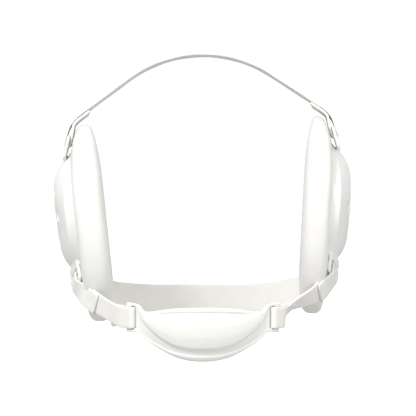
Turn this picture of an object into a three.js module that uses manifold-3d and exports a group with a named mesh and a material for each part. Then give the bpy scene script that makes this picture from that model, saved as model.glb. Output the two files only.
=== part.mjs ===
// A wrestling ear guard in the form that it has when worn.
// Millimetres and degrees. +X is the wearer's left, -Y is ahead and +Z is up.
// The origin is midway between the ears.
import * as THREE from 'three';
import { mergeVertices } from 'three/addons/utils/BufferGeometryUtils.js';
import Module from 'manifold-3d';

const wasm = await Module();
wasm.setup();

// The head that the guard fits
const headHalfWidth = 80; // from the middle to the pad's inner face
const crownHeight = 125; // from the ears to the top of the head
const crownRadius = 97; // the top of the head, seen from ahead
const crownBack = 5; // how far behind the ears the strap crosses the crown
const napeReach = 82; // from the ears back to the nape
const napeRadius = 60; // the nape, seen from above
const napeDrop = 70; // from the ears down to the middle of the nape strap

// How each guard sits on the side of the head
const guardYaw = 3; // its front edge turns in
const leanLeft = 4; // its lower end leans in, wearer's left
const leanRight = 7; // the same, wearer's right
const liftLeft = 3; // how far it sits above the ears' middle, wearer's left
const dropRight = 3; // how far below them it sits, wearer's right

// The soft pad
const padHeight = 155;
const padSink = 2.5; // from the ear down to the middle of the pad
const padDepth = 116;
const padThickness = 21;
const padRoll = 10; // radius of the rolled outer edge
const padHoleRound = 6; // radius of the edge round the ear hollow
const earHeight = 68; // the ear hollow
const earDepth = 48;
const wrapDepth = 3; // how far the front and back edges curve in round the head
const innerFill = { left: 0.5, right: 2.5 }; // how much further in the pad reaches to lie on the head
const topFill = 3.5; // how much further still at its top end
const topDrop = 12; // how much thinner the guard is at its top end
const lowDrop = 4; // the same at its lower end
const dropPower = 3; // higher keeps the thinning nearer the ends

// The moulded shell
const shellWall = 2.6;
const capHeight = 96;
const capDepth = 94;
const capLift = 6; // from the ear to the middle of the cap
const capWallRise = 7; // the steep wall over the pad
const capDraft = 2; // how far the wall leans in
const capDome = 6.5; // the rounded top over the wall
const wallLow = 0.25; // the share of the wall's rise that is left at the cap's upper and lower ends
const domePower = 2.2; // 2 is round, more is flatter in the middle
const endDomePower = 5; // the same towards the upper and lower ends
const soundHoleDiameter = 8;
const soundHoleCircle = 44;
const soundHoles = 6;

// The lugs that hold the straps
const lugThickness = 2.4;
const lugSide = 4; // material beside the slot
const lugBar = 6.5; // material outside the slot
const lugRoot = 5.5; // how far a lug runs into the cap
const slotOpening = 5.5;
const slotCorner = 1.1; // radius of the slot's corners
const slotClearance = 0.7; // at each end of a strap's width
const lugCornerRadius = 5;

// The straps
const strapThickness = 2;
const crownStrapWidth = 25;
const napeStrapWidth = 25;
const chinStrapWidth = 16;
const strapGap = 0.5; // between a strap and what it passes
const kneeLength = 9; // where a strap bends away from its lug
const kneeOverPad = 2; // how far over the pad's top the crown strap bends
const napeKneeRise = 62; // where the nape strap bends, up from the pad's lower end
const napeEase = 0.5; // share of its free run over which the nape strap comes to lie on the nape
const chinEase = 0.15; // share of its free run over which the chin strap leaves the cup straight
const tailLength = 16; // the end that doubles back under a strap
const chinTailLength = 10;
const chinTailDroop = 2.5; // how much lower the chin strap's free ends lie than the strap

// How far each chin strap turns under the jaw between lug and cup
const chinTwist = { left: 54, right: 5 };

// Where each strap's lug stands on the cap, turning up from ahead, and how far it turns in to the pad
const crownLug = { angle: 88, tilt: 0, strapWidth: crownStrapWidth };
const chinLug = { angle: -64, tilt: 1.2, strapWidth: chinStrapWidth };
const napeLug = { angle: 230, tilt: 3, strapWidth: napeStrapWidth };

// The chin cup
const cupHalfWidth = 57; // to the outside of the end bars
const cupHeight = 39;
const cupDrop = 69; // from the ears down to the middle of its top lip
const chinReach = 104; // from the ears ahead to the middle of the cup
const cupSag = 32; // how far the cup curves back to its ends
const cupWall = 3;
const cupTuck = 13; // how far the lower edge reaches back under the chin
const tuckPower = 2.4; // higher keeps the tuck nearer the lower edge
const cupCurveFade = 2; // how soon the tuck dies away towards the ends
const cupFormFade = 4; // how soon the raised forms die away towards the ends
const lipRise = 1.3;
const bossRise = 2.6; // the raised front
const beadRise = 0.7; // the line round the lower flange
const cupBar = 5; // the bar outside each slot
const cupEndMargin = 1.5; // material over and under each slot

// Gap between pieces that touch
const clearance = 0.3;

// How finely the curved bodies are divided
const roundSteps = 48;
const rollSteps = 6;
const domeSteps = 5;
const holeSteps = 12;
const turnSteps = 6;
const bendSteps = 6;
const strapStep = 5;
const cupSteps = 36;

const cutDepth = 20; // through any wall

const degree = Math.PI / 180;

// Closed bodies

// A closed body from rows of points. A row of one point is a tip or the middle of a flat end.
function skin(rows, loop) {
  const points = [];
  const starts = rows.map((row) => points.push(...row) - row.length);
  const columns = Math.max(...rows.map((row) => row.length));
  const corner = (row, column) => starts[row] + (column % rows[row].length);
  const faces = [];
  const addFace = (a, b, c) => {
    if (a !== b && b !== c && c !== a) faces.push(a, b, c);
  };
  for (let row = 0; row < rows.length - (loop ? 0 : 1); row += 1) {
    const next = (row + 1) % rows.length;
    for (let column = 0; column < columns; column += 1) {
      addFace(corner(row, column), corner(next, column), corner(next, column + 1));
      addFace(corner(row, column), corner(next, column + 1), corner(row, column + 1));
    }
  }
  const volume = faces.reduce((sum, first, at) => {
    if (at % 3 !== 0) return sum;
    const [a, b, c] = [points[first], points[faces[at + 1]], points[faces[at + 2]]];
    return sum + a.dot(b.clone().cross(c));
  }, 0);
  const geometry = new THREE.BufferGeometry().setFromPoints(points);
  geometry.setIndex(volume > 0 ? faces : faces.reverse());
  return geometry;
}

function toSolid(geometry) {
  const bare = geometry.clone();
  bare.deleteAttribute('normal');
  bare.deleteAttribute('uv');
  const merged = mergeVertices(bare, 1e-4);
  return new wasm.Manifold(
    new wasm.Mesh({
      numProp: 3,
      vertProperties: new Float32Array(merged.attributes.position.array),
      triVerts: new Uint32Array(merged.index.array),
    }),
  );
}

function toGeometry(solid) {
  const mesh = solid.getMesh();
  const geometry = new THREE.BufferGeometry();
  geometry.setAttribute('position', new THREE.BufferAttribute(mesh.vertProperties, 3));
  geometry.setIndex(new THREE.BufferAttribute(mesh.triVerts, 1));
  return geometry;
}

function material(color, roughness) {
  return new THREE.MeshStandardMaterial({ color, roughness, metalness: 0 });
}

const foamSkin = material(0xf2f1ec, 0.5);
const mouldedSkin = material(0xf6f6f2, 0.38);
const webbing = material(0xefeee8, 0.7);

function namedMesh(name, geometry, look) {
  const mesh = new THREE.Mesh(geometry, look);
  mesh.name = name;
  return mesh;
}

// The side of the head as the guard lies on it

// Points in a guard are ahead of the ear, above the ear and out from the head.
// The guard curves round the head and thins towards its upper and lower ends. Its inner face fills up
// to the head.
function settle(side, ahead, above, out) {
  const fore = ahead / (padDepth / 2);
  const end = (above + padSink) / (padHeight / 2);
  const drop = (end > 0 ? topDrop : lowDrop) * Math.abs(end) ** dropPower;
  const inside = Math.max(1 - out / padThickness, 0);
  const filled = (innerFill[side > 0 ? 'left' : 'right'] + topFill * Math.max(end, 0) ** 2) * inside;
  const thinned = drop * (1 - inside);
  return new THREE.Vector3(side * (out - wrapDepth * fore * fore - thinned - filled), -ahead, above);
}

// Rim of the pad: shares of half its depth and half its height
const padOutline = [
  { ahead: 1.0, above: 0.04 },
  { ahead: 0.94, above: 0.5 },
  { ahead: 0.64, above: 0.87 },
  { ahead: 0.08, above: 1.0 },
  { ahead: -0.52, above: 0.9 },
  { ahead: -0.91, above: 0.52 },
  { ahead: -1.0, above: 0.04 },
  { ahead: -0.89, above: -0.45 },
  { ahead: -0.57, above: -0.84 },
  { ahead: -0.04, above: -1.0 },
  { ahead: 0.48, above: -0.86 },
  { ahead: 0.85, above: -0.48 },
];

const padRim = new THREE.CatmullRomCurve3(
  padOutline.map((row) => {
    const ahead = (row.ahead * padDepth) / 2;
    const above = (row.above * padHeight) / 2 - padSink;
    return new THREE.Vector3(ahead, above, 0);
  }),
  true,
);

function oval(depth, height, middle, turn) {
  const ahead = (depth / 2) * Math.cos(turn * 2 * Math.PI);
  const above = middle + (height / 2) * Math.sin(turn * 2 * Math.PI);
  return new THREE.Vector3(ahead, above, 0);
}

function insetRim(turn, inset) {
  const tangent = padRim.getTangent(turn);
  const inward = new THREE.Vector3(-tangent.y, tangent.x, 0);
  return padRim.getPoint(turn).addScaledVector(inward, inset);
}

function ring(side, place) {
  return Array.from({ length: roundSteps }, (_, step) => {
    const { at, out } = place(step / roundSteps);
    return settle(side, at.x, at.y, out);
  });
}

function padGeometry(side) {
  const rows = [];
  const half = padThickness / 2;
  for (let step = 0; step <= rollSteps; step += 1) {
    const swing = Math.PI * (step / rollSteps - 0.5);
    const inset = padRoll * (1 - Math.cos(swing));
    rows.push(ring(side, (turn) => ({ at: insetRim(turn, inset), out: half + half * Math.sin(swing) })));
  }
  const hole = (turn, margin) => oval(earDepth + 2 * margin, earHeight + 2 * margin, 0, turn);
  for (let step = 0; step <= rollSteps / 2; step += 1) {
    const swing = (Math.PI / 2) * (step / (rollSteps / 2));
    const margin = padHoleRound * (1 - Math.sin(swing));
    const out = padThickness - padHoleRound * (1 - Math.cos(swing));
    rows.push(ring(side, (turn) => ({ at: hole(turn, margin), out })));
  }
  for (let step = 0; step <= rollSteps / 2; step += 1) {
    const swing = (Math.PI / 2) * (step / (rollSteps / 2));
    const margin = padHoleRound * (1 - Math.cos(swing));
    const out = padHoleRound * (1 - Math.sin(swing));
    rows.push(ring(side, (turn) => ({ at: hole(turn, margin), out })));
  }
  return skin(rows, true);
}

// The shell: a steep wall, a rounded top and three lugs

const shellFoot = padThickness + clearance;
const capEdge = shellFoot + capWallRise;
const lugUnder = shellFoot + strapThickness + 2 * strapGap;

// How far out the cap's face is. Its wall is tallest at the front and back.
function capOut(turn, share) {
  const endwise = Math.sin(turn * 2 * Math.PI) ** 2;
  const rise = capWallRise * (1 - (1 - wallLow) * endwise);
  const power = domePower + (endDomePower - domePower) * endwise;
  return shellFoot + rise + (capWallRise + capDome - rise) * (1 - share ** power);
}

function capRing(side, share, inset, out) {
  const depth = (capDepth - 2 * inset) * share;
  const height = (capHeight - 2 * inset) * share;
  return ring(side, (turn) => ({ at: oval(depth, height, capLift, turn), out: out(turn) }));
}

function capSolid(side) {
  const rows = [];
  const foot = () => shellFoot;
  rows.push([settle(side, 0, capLift, capEdge + capDome)]);
  for (let step = 1; step <= domeSteps; step += 1) {
    const share = Math.sin((step / domeSteps) * (Math.PI / 2));
    rows.push(capRing(side, share, capDraft, (turn) => capOut(turn, share)));
  }
  rows.push(capRing(side, 1, 0, foot));
  rows.push(capRing(side, 1, shellWall, foot));
  for (let step = domeSteps; step >= 1; step -= 1) {
    const share = Math.sin((step / domeSteps) * (Math.PI / 2));
    const under = (turn) => Math.max(capOut(turn, share) - shellWall, shellFoot);
    rows.push(capRing(side, share, capDraft + shellWall, under));
  }
  rows.push([settle(side, 0, capLift, capEdge + capDome - shellWall)]);
  return toSolid(skin(rows, false));
}

// A lug reaches out from the cap along its angle. Its slot lies just outside the wall.
function capReach(angle) {
  const across = Math.cos(angle * degree) / (capDepth / 2);
  const up = Math.sin(angle * degree) / (capHeight / 2);
  return 1 / Math.hypot(across, up);
}

function lugPoint(side, angle, along, across, out) {
  const ahead = along * Math.cos(angle * degree) - across * Math.sin(angle * degree);
  const above = capLift + along * Math.sin(angle * degree) + across * Math.cos(angle * degree);
  return settle(side, ahead, above, out);
}

function barStart(angle) {
  return capReach(angle) + strapThickness + slotOpening;
}

function roundedRectangle(outline, left, bottom, width, height, radius) {
  outline.moveTo(left + radius, bottom);
  outline.lineTo(left + width - radius, bottom);
  outline.absarc(left + width - radius, bottom + radius, radius, -Math.PI / 2, 0);
  outline.lineTo(left + width, bottom + height - radius);
  outline.absarc(left + width - radius, bottom + height - radius, radius, 0, Math.PI / 2);
  outline.lineTo(left + radius, bottom + height);
  outline.absarc(left + radius, bottom + height - radius, radius, Math.PI / 2, Math.PI);
  outline.lineTo(left, bottom + radius);
  outline.absarc(left + radius, bottom + radius, radius, Math.PI, 1.5 * Math.PI);
  return outline;
}

// The flat of a lug: the middle of the inner edge of its bar, and the directions away, across and outward
function lugFrame(side, { angle, tilt }) {
  const middle = lugUnder + lugThickness / 2;
  const start = barStart(angle);
  const edge = lugPoint(side, angle, start, 0, middle);
  const away = lugPoint(side, angle, start + lugBar, 0, middle).sub(edge).normalize();
  const across = lugPoint(side, angle, start, 1, middle).sub(edge);
  across.addScaledVector(away, -across.dot(away)).normalize();
  const inwardTurn = -side * Math.sign(across.clone().cross(away).x);
  away.applyAxisAngle(across, inwardTurn * tilt * degree);
  const outward = across.clone().cross(away);
  outward.multiplyScalar(Math.sign(outward.x) * side);
  return { edge, away, across, outward };
}

function lugSolid(side, lug) {
  const slotWidth = lug.strapWidth + 2 * slotClearance;
  const width = slotWidth + 2 * lugSide;
  const root = capReach(lug.angle) - lugRoot - barStart(lug.angle);
  const shape = new THREE.Shape();
  roundedRectangle(shape, -width / 2, root, width, lugBar - root, lugCornerRadius);
  const slot = new THREE.Path();
  roundedRectangle(slot, -slotWidth / 2, -slotOpening, slotWidth, slotOpening, slotCorner);
  shape.holes.push(slot);
  const geometry = new THREE.ExtrudeGeometry(shape, {
    depth: lugThickness,
    bevelEnabled: false,
    curveSegments: 4,
  });
  geometry.translate(0, 0, -lugThickness / 2);
  const { edge, away, outward } = lugFrame(side, lug);
  const placing = new THREE.Matrix4().makeBasis(away.clone().cross(outward), away, outward);
  return toSolid(geometry.applyMatrix4(placing.setPosition(edge)));
}

function soundHoleSolid(side, ahead, above) {
  const reach = capEdge + capDome;
  const drill = new THREE.CylinderGeometry(soundHoleDiameter / 2, soundHoleDiameter / 2, reach, holeSteps);
  drill.rotateZ(Math.PI / 2);
  const middle = settle(side, ahead, above, capEdge + capDome);
  drill.translate(middle.x, middle.y, middle.z);
  return toSolid(drill);
}

function shellGeometry(side) {
  let shell = capSolid(side);
  for (const lug of [crownLug, chinLug, napeLug]) shell = shell.add(lugSolid(side, lug));
  for (let hole = 0; hole < soundHoles; hole += 1) {
    const turn = (hole / soundHoles) * 2 * Math.PI;
    const ahead = (soundHoleCircle / 2) * Math.cos(turn);
    const above = capLift + (soundHoleCircle / 2) * Math.sin(turn);
    shell = shell.subtract(soundHoleSolid(side, ahead, above));
  }
  return toGeometry(shell);
}

// Straps

// A strap is a ribbon along a route of places, each with a point and the direction of its width.
function strapGeometry(route, width) {
  const rows = route.map((place, index) => {
    const before = route[Math.max(index - 1, 0)].point;
    const after = route[Math.min(index + 1, route.length - 1)].point;
    const tangent = after.clone().sub(before).normalize();
    const across = place.across.clone().addScaledVector(tangent, -place.across.dot(tangent)).normalize();
    const out = across.clone().cross(tangent);
    const corner = (sideways, outward) =>
      place.point
        .clone()
        .addScaledVector(across, (sideways * width) / 2)
        .addScaledVector(out, (outward * strapThickness) / 2);
    return [corner(-1, -1), corner(1, -1), corner(1, 1), corner(-1, 1)];
  });
  return skin([[route[0].point], ...rows, [route[route.length - 1].point]], false);
}

// The way round a bar: under it, through the slot and back over it.
function barTurn(edge, away, outward, across, barWidth, barThickness) {
  const radius = barThickness / 2 + strapGap + strapThickness / 2;
  const place = (along, rise) => ({
    point: edge.clone().addScaledVector(away, along).addScaledVector(outward, rise),
    across: across.clone(),
  });
  const route = [place(barWidth, -radius)];
  for (let step = 0; step <= turnSteps; step += 1) {
    const swing = Math.PI * (step / turnSteps - 0.5);
    route.push(place(-radius * Math.cos(swing), radius * Math.sin(swing)));
  }
  route.push(place(barWidth, radius));
  return route;
}

// The free end that lies under a strap, from its tip back to the bar
function tailRoute(main, length, droop = 0) {
  const tail = [];
  let walked = 0;
  for (let index = 1; index < main.length - 1 && walked < kneeLength + length; index += 1) {
    walked += main[index].point.distanceTo(main[index - 1].point);
    if (walked < kneeLength) continue;
    const tangent = main[index + 1].point.clone().sub(main[index - 1].point).normalize();
    const inward = tangent.cross(main[index].across).normalize();
    const point = main[index].point.clone().addScaledVector(inward, strapThickness + strapGap);
    point.z -= (droop * (walked - kneeLength)) / length;
    tail.unshift({ point, across: main[index].across });
  }
  return tail;
}

function reversed(route) {
  return [...route].reverse();
}

function flipped(route) {
  return route.map((place) => ({ point: place.point, across: place.across.clone().negate() }));
}

// Places along a curve, a strap's step apart, with the width direction turning from one end to the other
function placesAlong(curve, firstAcross, lastAcross, shortest = 2) {
  const count = Math.max(Math.ceil(curve.getLength() / strapStep), shortest);
  return Array.from({ length: count + 1 }, (_, step) => {
    const share = step / count;
    const across = firstAcross.clone().lerp(lastAcross, share).normalize();
    return { point: curve.getPointAt(share), across };
  });
}

// The two guards

const guards = [
  { name: 'left', side: 1, lean: leanLeft, lift: liftLeft },
  { name: 'right', side: -1, lean: leanRight, lift: -dropRight },
].map((guard) => {
  const group = new THREE.Group();
  group.position.set(guard.side * headHalfWidth, 0, guard.lift);
  group.rotation.set(0, guard.side * guard.lean * degree, -guard.side * guardYaw * degree);
  group.updateMatrixWorld();
  group.add(namedMesh(`ear_pad_${guard.name}`, padGeometry(guard.side), foamSkin));
  group.add(namedMesh(`ear_shell_${guard.name}`, shellGeometry(guard.side), mouldedSkin));
  return { ...guard, group };
});

// Where a strap turns round a guard's lug, in the worn frame
function lugTurn(guard, lug) {
  const frame = lugFrame(guard.side, lug);
  const edge = guard.group.localToWorld(frame.edge);
  const [away, across, outward] = [frame.away, frame.across, frame.outward].map((direction) =>
    direction.transformDirection(guard.group.matrixWorld),
  );
  return { edge, away, across, route: barTurn(edge, away, outward, across, lugBar, lugThickness) };
}

const crownKnee = padHeight / 2 - padSink + kneeOverPad - capLift - barStart(crownLug.angle) - lugBar;
const napeKnee = padHeight / 2 + padSink - napeKneeRise;

// The crown strap bends in over each lug, runs straight to the head and follows its top.
function crownRoute() {
  const [left, right] = guards.map((guard) => lugTurn(guard, crownLug));
  const radius = crownRadius + strapThickness / 2;
  const centre = new THREE.Vector3(0, crownBack, crownHeight - crownRadius);
  const halfRoute = (turn) => {
    const side = Math.sign(turn.edge.x);
    const start = turn.route[turn.route.length - 1].point;
    const knee = start.clone().addScaledVector(turn.away, crownKnee);
    const reach = Math.hypot(knee.x - centre.x, knee.z - centre.z);
    const kneeAngle = Math.atan2(knee.z - centre.z, Math.abs(knee.x - centre.x));
    const touchAngle = kneeAngle + Math.acos(radius / reach);
    const onHead = (angle) =>
      new THREE.Vector3(side * radius * Math.cos(angle), crownBack, centre.z + radius * Math.sin(angle));
    const touch = onHead(touchAngle);
    const toTouch = touch.clone().sub(knee).normalize();
    const afterKnee = knee.clone().addScaledVector(toTouch, crownKnee);
    const back = new THREE.Vector3(0, 1, 0);
    const bend = new THREE.QuadraticBezierCurve3(start, knee, afterKnee);
    const places = placesAlong(bend, turn.across, back, bendSteps).slice(1);
    places.push(...placesAlong(new THREE.LineCurve3(afterKnee, touch), back, back).slice(1));
    const steps = Math.ceil((radius * (Math.PI / 2 - touchAngle)) / strapStep);
    for (let step = 1; step <= steps; step += 1) {
      const angle = touchAngle + (Math.PI / 2 - touchAngle) * (step / steps);
      places.push({ point: onHead(angle), across: back });
    }
    return places;
  };
  return threaded(left.route, halfRoute(left), halfRoute(right), right.route, tailLength);
}

// A strap between two lugs: tail, turn, one half, the other half, turn and tail
function threaded(firstTurn, firstHalf, lastHalf, lastTurn, tail) {
  const start = firstTurn[firstTurn.length - 1];
  const end = lastTurn[lastTurn.length - 1];
  const main = [start, ...firstHalf, ...reversed(lastHalf).slice(1), end];
  return [
    ...tailRoute(main, tail),
    ...firstTurn.slice(0, -1),
    ...main,
    ...reversed(lastTurn).slice(1),
    ...flipped(reversed(tailRoute(flipped(reversed(main)), tail))),
  ];
}

// The nape strap runs from each low rear lug to the back of the neck and round it.
function napeRoute() {
  const [left, right] = guards.map((guard) => lugTurn(guard, napeLug));
  const radius = napeRadius + strapThickness / 2;
  const centreY = napeReach - napeRadius;
  const down = new THREE.Vector3(0, 0, -1);
  const halfRoute = (turn) => {
    const side = Math.sign(turn.edge.x);
    const start = turn.route[turn.route.length - 1].point;
    const reach = Math.hypot(start.x, start.y - centreY);
    const touchAngle = Math.atan2(start.y - centreY, Math.abs(start.x)) + Math.acos(radius / reach);
    const onNape = (angle) =>
      new THREE.Vector3(side * radius * Math.cos(angle), centreY + radius * Math.sin(angle), -napeDrop);
    const touch = onNape(touchAngle);
    const along = new THREE.Vector3(-side * Math.sin(touchAngle), Math.cos(touchAngle), 0);
    const curve = new THREE.CubicBezierCurve3(
      start,
      start.clone().addScaledVector(turn.away, napeKnee),
      touch.clone().addScaledVector(along, -start.distanceTo(touch) * napeEase),
      touch,
    );
    const places = placesAlong(curve, turn.across, down).slice(1);
    const steps = Math.ceil((radius * (Math.PI / 2 - touchAngle)) / strapStep);
    for (let step = 1; step <= steps; step += 1) {
      const angle = touchAngle + (Math.PI / 2 - touchAngle) * (step / steps);
      places.push({ point: onNape(angle), across: down });
    }
    return places;
  };
  return threaded(left.route, halfRoute(left), halfRoute(right), right.route, tailLength);
}

// The chin cup

// The ends of the cup, as shares of its height below the lip: tall enough for the strap's slot
const endMiddle = 0.195;
const endTip = 0.04;
const endHalf = (chinStrapWidth / 2 + slotClearance + cupEndMargin) / cupHeight;

// The cup's curved body ends here, a share of the half width, and its flat end bars begin.
const cupBodyShare = 0.86;

// Sections across the cup: shares of its half width, and of its height below the lip
const cupSections = [
  { across: 0, top: 0, bottom: 1 },
  { across: 0.24, top: 0.005, bottom: 0.95 },
  { across: 0.46, top: 0.03, bottom: 0.82 },
  { across: 0.68, top: 0.065, bottom: 0.65 },
  { across: 0.79, top: 0.04, bottom: 0.54 },
  { across: cupBodyShare, top: endMiddle - endHalf, bottom: endMiddle + endHalf },
  { across: 1, top: endMiddle - endHalf - endTip, bottom: endMiddle + endHalf + endTip / 2 },
];

// From the lip to the lower edge: how far down, and which raised form stands there
const cupProfile = [
  { down: 0, lip: 0.2, boss: 0, bead: 0 },
  { down: 0.02, lip: 1, boss: 0, bead: 0 },
  { down: 0.07, lip: 1, boss: 0, bead: 0 },
  { down: 0.1, lip: 0, boss: 0, bead: 0 },
  { down: 0.16, lip: 0, boss: 1, bead: 0 },
  { down: 0.35, lip: 0, boss: 1.15, bead: 0 },
  { down: 0.55, lip: 0, boss: 1.15, bead: 0 },
  { down: 0.74, lip: 0, boss: 1, bead: 0 },
  { down: 0.8, lip: 0, boss: 0, bead: 0 },
  { down: 0.88, lip: 0, boss: 0, bead: 0 },
  { down: 0.91, lip: 0, boss: 0, bead: 1 },
  { down: 0.96, lip: 0, boss: 0, bead: 1 },
  { down: 1, lip: 0, boss: 0, bead: 0 },
];

const cupCurve = new THREE.CatmullRomCurve3(
  [...cupSections.slice(1).reverse().map((row) => ({ ...row, across: -row.across })), ...cupSections].map(
    (row) => new THREE.Vector3(row.across, row.top, row.bottom),
  ),
);

// The plan of the cup: a point of its outer face and the direction out from the chin
function cupPlan(share) {
  const slope = (2 * cupSag * share) / cupHalfWidth;
  const point = new THREE.Vector3(cupHalfWidth * share, cupSag * share * share - chinReach, 0);
  const outward = new THREE.Vector3(slope, -1, 0).normalize();
  const away = new THREE.Vector3(1, slope, 0).normalize();
  return { point, outward, away };
}

// How much of a raised form or curve is left at a share of the way out to the flat end bars
function cupFade(share, power) {
  return Math.max(1 - (Math.abs(share) / cupBodyShare) ** power, 0);
}

function cupPoint(section, down, rise) {
  const { point, outward } = cupPlan(section.x);
  const height = section.y + (section.z - section.y) * down;
  const tuck = cupTuck * cupFade(section.x, cupCurveFade) * down ** tuckPower;
  return point.addScaledVector(outward, rise - tuck).setZ(-cupDrop - cupHeight * height);
}

function cupSection(section) {
  const fade = cupFade(section.x, cupFormFade);
  const raised = (row) => lipRise * row.lip + bossRise * row.boss + beadRise * row.bead;
  const rise = (row) => raised(row) * fade;
  const front = cupProfile.map((row) => cupPoint(section, row.down, rise(row)));
  const back = cupProfile.map((row) => cupPoint(section, row.down, -cupWall)).reverse();
  return [...front, ...back];
}

const cupSlotEdge = 1 - cupBar / Math.hypot(cupHalfWidth, 2 * cupSag);

function cupEnd(side) {
  const { point, outward, away } = cupPlan(side * cupSlotEdge);
  const end = cupCurve.getPoint(side < 0 ? 0 : 1);
  const height = -cupDrop - (cupHeight * (end.y + end.z)) / 2;
  const edge = point.addScaledVector(outward, -cupWall / 2).setZ(height);
  return { edge, outward, away: away.multiplyScalar(side) };
}

function cupGeometry() {
  const rows = Array.from({ length: cupSteps + 1 }, (_, step) =>
    cupSection(cupCurve.getPoint(step / cupSteps)),
  );
  const middleOf = (row) =>
    row.reduce((sum, point) => sum.add(point), new THREE.Vector3()).divideScalar(row.length);
  const body = skin([[middleOf(rows[0])], ...rows, [middleOf(rows[cupSteps])]], false);
  let cup = toSolid(body);
  for (const side of [1, -1]) {
    const { edge, outward, away } = cupEnd(side);
    const slotHeight = chinStrapWidth + 2 * slotClearance;
    const cutter = new THREE.BoxGeometry(slotOpening, cutDepth, slotHeight);
    const middle = edge.clone().addScaledVector(away, -slotOpening / 2);
    const up = new THREE.Vector3(0, 0, 1);
    const turn = new THREE.Matrix4().makeBasis(away, up.clone().cross(away), up).setPosition(middle);
    cutter.applyMatrix4(turn);
    cup = cup.subtract(toSolid(cutter));
  }
  return toGeometry(cup);
}

// A strap's places turned about its run, most beyond its middle, so that its lower edge goes in to the jaw
function twisted(route, angle) {
  return route.map((place, index) => {
    const before = route[Math.max(index - 1, 0)].point;
    const after = route[Math.min(index + 1, route.length - 1)].point;
    const tangent = after.clone().sub(before).normalize();
    const share = index / (route.length - 1);
    const amount = angle * degree * Math.sin(Math.PI * share * share) ** 2;
    return { point: place.point, across: place.across.clone().applyAxisAngle(tangent, amount) };
  });
}

// Each chin strap leaves its lug along the jaw and turns round the cup's end bar.
function chinRoute(guard) {
  const lug = lugTurn(guard, chinLug);
  const { edge, outward, away } = cupEnd(guard.side);
  const up = new THREE.Vector3(0, 0, 1);
  const cupTurn = barTurn(edge, away, outward, up, cupBar + strapThickness, cupWall + 2 * clearance);
  const start = lug.route[lug.route.length - 1];
  const end = cupTurn[cupTurn.length - 1];
  const curve = new THREE.CubicBezierCurve3(
    start.point,
    start.point.clone().addScaledVector(lug.away, kneeLength),
    end.point.clone().addScaledVector(away, start.point.distanceTo(end.point) * chinEase),
    end.point,
  );
  const places = placesAlong(curve, lug.across, up);
  const turned = (route) => (guard.side < 0 ? flipped(route) : route);
  const main = twisted(turned(places), -guard.side * chinTwist[guard.name]);
  return [
    ...tailRoute(main, chinTailLength, chinTailDroop),
    ...turned(lug.route).slice(0, -1),
    ...main,
    ...reversed(turned(cupTurn)).slice(1),
    ...flipped(reversed(tailRoute(flipped(reversed(main)), chinTailLength, chinTailDroop))),
  ];
}

const earGuard = new THREE.Group();
for (const guard of guards) {
  earGuard.add(guard.group);
  const strap = strapGeometry(chinRoute(guard), chinStrapWidth);
  earGuard.add(namedMesh(`chin_strap_${guard.name}`, strap, webbing));
}
earGuard.add(namedMesh('crown_strap', strapGeometry(crownRoute(), crownStrapWidth), webbing));
earGuard.add(namedMesh('nape_strap', strapGeometry(napeRoute(), napeStrapWidth), webbing));
earGuard.add(namedMesh('chin_cup', cupGeometry(), mouldedSkin));

export default earGuard;
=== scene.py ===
import math

import bmesh
import bpy
import numpy as np
from mathutils import Matrix, Vector


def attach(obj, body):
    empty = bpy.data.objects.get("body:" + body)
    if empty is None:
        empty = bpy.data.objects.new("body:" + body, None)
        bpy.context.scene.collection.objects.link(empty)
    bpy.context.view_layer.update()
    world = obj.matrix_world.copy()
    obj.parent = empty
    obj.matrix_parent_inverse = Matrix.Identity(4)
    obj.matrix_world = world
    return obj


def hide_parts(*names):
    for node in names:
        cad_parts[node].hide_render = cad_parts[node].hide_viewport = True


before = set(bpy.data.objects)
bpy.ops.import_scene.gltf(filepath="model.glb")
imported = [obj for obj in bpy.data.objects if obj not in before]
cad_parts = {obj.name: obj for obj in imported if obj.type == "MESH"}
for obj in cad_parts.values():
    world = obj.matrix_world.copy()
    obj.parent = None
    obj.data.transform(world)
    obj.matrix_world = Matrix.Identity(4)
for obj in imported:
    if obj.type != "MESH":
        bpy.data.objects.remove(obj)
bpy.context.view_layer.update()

# Lengths are in millimetres until a mesh is made. +X is the wearer's left, -Y is ahead and +Z is up.
MM = 0.001
LEFT = 1
RIGHT = -1
SIDE_NAMES = {LEFT: "left", RIGHT: "right"}

# The head that the guard fits
HEAD_HALF_WIDTH = 80
CROWN_HEIGHT = 125
CROWN_RADIUS = 97
CROWN_BACK = 5
NAPE_REACH = 82
NAPE_RADIUS = 60
NAPE_DROP = 70
GUARD_YAW = 3
LEAN = {LEFT: 4, RIGHT: 7}
LIFT = {LEFT: 3, RIGHT: -3}

# The soft pad
PAD_HEIGHT = 155
PAD_LIFT = -2.5
PAD_DEPTH = 116
PAD_THICKNESS = 21
WRAP_DEPTH = 3
PAD_ROLL = 10
PAD_HOLE_ROUND = 6
EAR_HEIGHT = 68
EAR_DEPTH = 48
INNER_FILL = {LEFT: 0.5, RIGHT: 2.5}
TOP_FILL = 3.5
TOP_DROP = 12
LOW_DROP = 4
DROP_POWER = 3
CLEARANCE = 0.3

# The moulded shell and its lugs
SHELL_WALL = 2.6
CAP_HEIGHT = 96
CAP_DEPTH = 94
CAP_LIFT = 6
CAP_WALL_RISE = 7
CAP_DRAFT = 2
CAP_DOME = 6.5
WALL_LOW = 0.25
DOME_POWER = 2.2
END_DOME_POWER = 5
HOLE_DIAMETER = 8
HOLE_CIRCLE = 44
HOLES = 6
LUG_THICKNESS = 2.4
LUG_SIDE = 4
LUG_BAR = 6.5
LUG_ROOT = 5.5
LUG_CORNER = 5
SLOT_OPENING = 5.5
SLOT_CORNER = 1.1
SLOT_CLEARANCE = 0.7

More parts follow.
